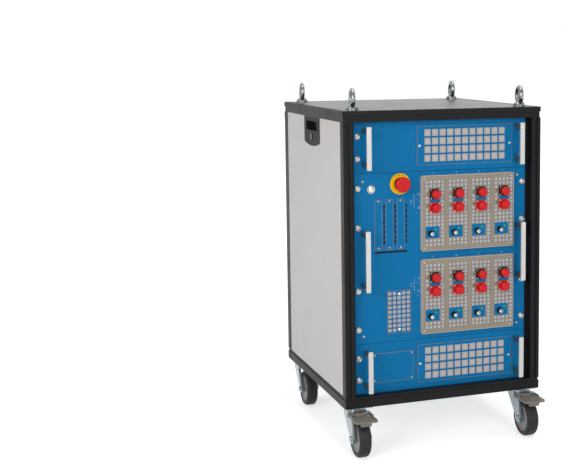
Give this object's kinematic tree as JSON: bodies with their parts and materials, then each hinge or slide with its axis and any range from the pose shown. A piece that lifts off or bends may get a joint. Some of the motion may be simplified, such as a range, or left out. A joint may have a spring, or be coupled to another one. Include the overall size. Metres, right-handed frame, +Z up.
{
  "type": "battery cycler",
  "caption": "Rack-style battery test cabinet on swivel casters, with blue front panels, capped output sockets, signal connectors, filter grilles, handles, emergency stop and lifting eyes",
  "frame": {"origin": "on the floor, midway between the sides and midway between the brake pedals' tips and the cabinet's back", "axes": "+X to the right seen from the front, -Y to the front, +Z up"},
  "size_m": [0.5578, 0.631, 0.952],
  "materials": {
    "frame_paint": "satin near-black powder coat",
    "cover_paint": "satin dark grey paint that looks pale at a grazing angle",
    "side_paint": "fine-textured light grey powder coat",
    "blue_paint": "smooth mid-blue paint",
    "case_steel": "plain galvanised sheet",
    "plate_steel": "warm grey plated sheet, finely brushed",
    "screen_pale": "pale blue-grey sheet",
    "filter_mesh": "woven beige filter mesh",
    "black_plastic": "fine-grained black moulding",
    "red_plastic": "glossy red moulding",
    "yellow_plastic": "smooth yellow moulding",
    "green_lens": "translucent green lens",
    "nickel": "bright nickel plate",
    "zinc": "zinc-plated pressed steel",
    "eye_steel": "dark bright-rolled steel",
    "handle_silver": "satin anodised aluminium",
    "handle_dark": "dark grey paint",
    "tyre_rubber": "dark grey rubber",
    "hub_plastic": "mid-grey moulding",
    "pedal_plastic": "brown-grey moulding"
  },
  "bodies": {
    "cabinet": {"top_frame": "frame_paint", "bottom_frame": "frame_paint", "top_cover": "cover_paint", "bottom_plate": "case_steel", "front_uprights": "frame_paint", "rear_uprights": "frame_paint", "side_panel_right": "side_paint", "side_panel_left": "side_paint", "latch_cups": "black_plastic", "rear_panel": "frame_paint", "mains_inlet": "black_plastic", "upper_panel": "blue_paint", "lower_panel": "blue_paint", "main_panel": "blue_paint", "rack_rails": "frame_paint", "rack_screws": "nickel", "lower_case": "case_steel", "main_case": "case_steel", "upper_case": "case_steel", "filter_grilles": "blue_paint", "small_grille": "blue_paint", "filter_screens": "filter_mesh", "slot_covers": "blue_paint", "service_cover": "blue_paint", "socket_plate_upper": "plate_steel", "socket_plate_lower": "plate_steel", "socket_screens": "screen_pale", "black_sockets": "black_plastic", "red_sockets": "red_plastic", "socket_caps": "red_plastic", "channel_plates": "blue_paint", "bnc_connectors": "nickel", "channel_lamps": "green_lens", "handle_bars": "handle_silver", "handle_posts": "handle_dark", "estop_ring": "yellow_plastic", "estop_collar": "black_plastic", "button_bezel": "nickel", "eye_washers": "eye_steel", "eye_bolts": "eye_steel", "caster_plates": "zinc"},
    "fork_front_left": {"fork_front_left": "zinc"},
    "wheel_front_left": {"wheel_hub_front_left": "hub_plastic", "tyre_front_left": "tyre_rubber"},
    "pedal_front_left": {"brake_pedal_front_left": "pedal_plastic"},
    "fork_front_right": {"fork_front_right": "zinc"},
    "wheel_front_right": {"wheel_hub_front_right": "hub_plastic", "tyre_front_right": "tyre_rubber"},
    "pedal_front_right": {"brake_pedal_front_right": "pedal_plastic"},
    "fork_rear_left": {"fork_rear_left": "zinc"},
    "wheel_rear_left": {"wheel_hub_rear_left": "hub_plastic", "tyre_rear_left": "tyre_rubber"},
    "fork_rear_right": {"fork_rear_right": "zinc"},
    "wheel_rear_right": {"wheel_hub_rear_right": "hub_plastic", "tyre_rear_right": "tyre_rubber"},
    "estop_stem": {"estop_stem": "zinc"},
    "estop_head": {"estop_head": "red_plastic"},
    "power_button": {"button_plunger": "nickel"},
    "lock_left": {"lock_left": "handle_dark"},
    "lock_right": {"lock_right": "handle_dark"}
  },
  "joints": [
    {"name": "swivel_front_left", "type": "hinge", "parent": "cabinet", "child": "fork_front_left", "pos_m": [-0.238, -0.2155, 0.1145], "axis": [0, 0, 1], "continuous": true},
    {"name": "spin_front_left", "type": "hinge", "parent": "fork_front_left", "child": "wheel_front_left", "pos_m": [-0.238, -0.2565, 0.05], "axis": [1, 0, 0], "continuous": true},
    {"name": "brake_front_left", "type": "hinge", "parent": "fork_front_left", "child": "pedal_front_left", "pos_m": [-0.238, -0.2515, 0.109], "axis": [1, 0, 0], "range_deg": [0, 12]},
    {"name": "swivel_front_right", "type": "hinge", "parent": "cabinet", "child": "fork_front_right", "pos_m": [0.238, -0.2155, 0.1145], "axis": [0, 0, 1], "continuous": true},
    {"name": "spin_front_right", "type": "hinge", "parent": "fork_front_right", "child": "wheel_front_right", "pos_m": [0.238, -0.2565, 0.05], "axis": [1, 0, 0], "continuous": true},
    {"name": "brake_front_right", "type": "hinge", "parent": "fork_front_right", "child": "pedal_front_right", "pos_m": [0.238, -0.2515, 0.109], "axis": [1, 0, 0], "range_deg": [0, 12]},
    {"name": "swivel_rear_left", "type": "hinge", "parent": "cabinet", "child": "fork_rear_left", "pos_m": [-0.238, 0.2745, 0.1145], "axis": [0, 0, 1], "continuous": true},
    {"name": "spin_rear_left", "type": "hinge", "parent": "fork_rear_left", "child": "wheel_rear_left", "pos_m": [-0.238, 0.2335, 0.05], "axis": [1, 0, 0], "continuous": true},
    {"name": "swivel_rear_right", "type": "hinge", "parent": "cabinet", "child": "fork_rear_right", "pos_m": [0.238, 0.2745, 0.1145], "axis": [0, 0, 1], "continuous": true},
    {"name": "spin_rear_right", "type": "hinge", "parent": "fork_rear_right", "child": "wheel_rear_right", "pos_m": [0.238, 0.2335, 0.05], "axis": [1, 0, 0], "continuous": true},
    {"name": "estop_push", "type": "slide", "parent": "cabinet", "child": "estop_stem", "axis": [0, 1, 0], "range_m": [0, 0.004], "stiffness_N_per_m": 900, "springref_m": -0.001},
    {"name": "estop_twist", "type": "hinge", "parent": "estop_stem", "child": "estop_head", "pos_m": [-0.1167, -0.2495, 0.7042], "axis": [0, -1, 0], "range_deg": [0, 45], "stiffness_Nm_per_rad": 0.08},
    {"name": "power_press", "type": "slide", "parent": "cabinet", "child": "power_button", "axis": [0, 1, 0], "range_m": [0, 0.002], "stiffness_N_per_m": 700, "springref_m": -0.001},
    {"name": "lock_turn_left", "type": "hinge", "parent": "cabinet", "child": "lock_left", "pos_m": [-0.277, 0.027, 0.8147], "axis": [1, 0, 0], "range_deg": [0, 90]},
    {"name": "lock_turn_right", "type": "hinge", "parent": "cabinet", "child": "lock_right", "pos_m": [0.277, 0.027, 0.8147], "axis": [1, 0, 0], "range_deg": [0, 90]}
  ]
}
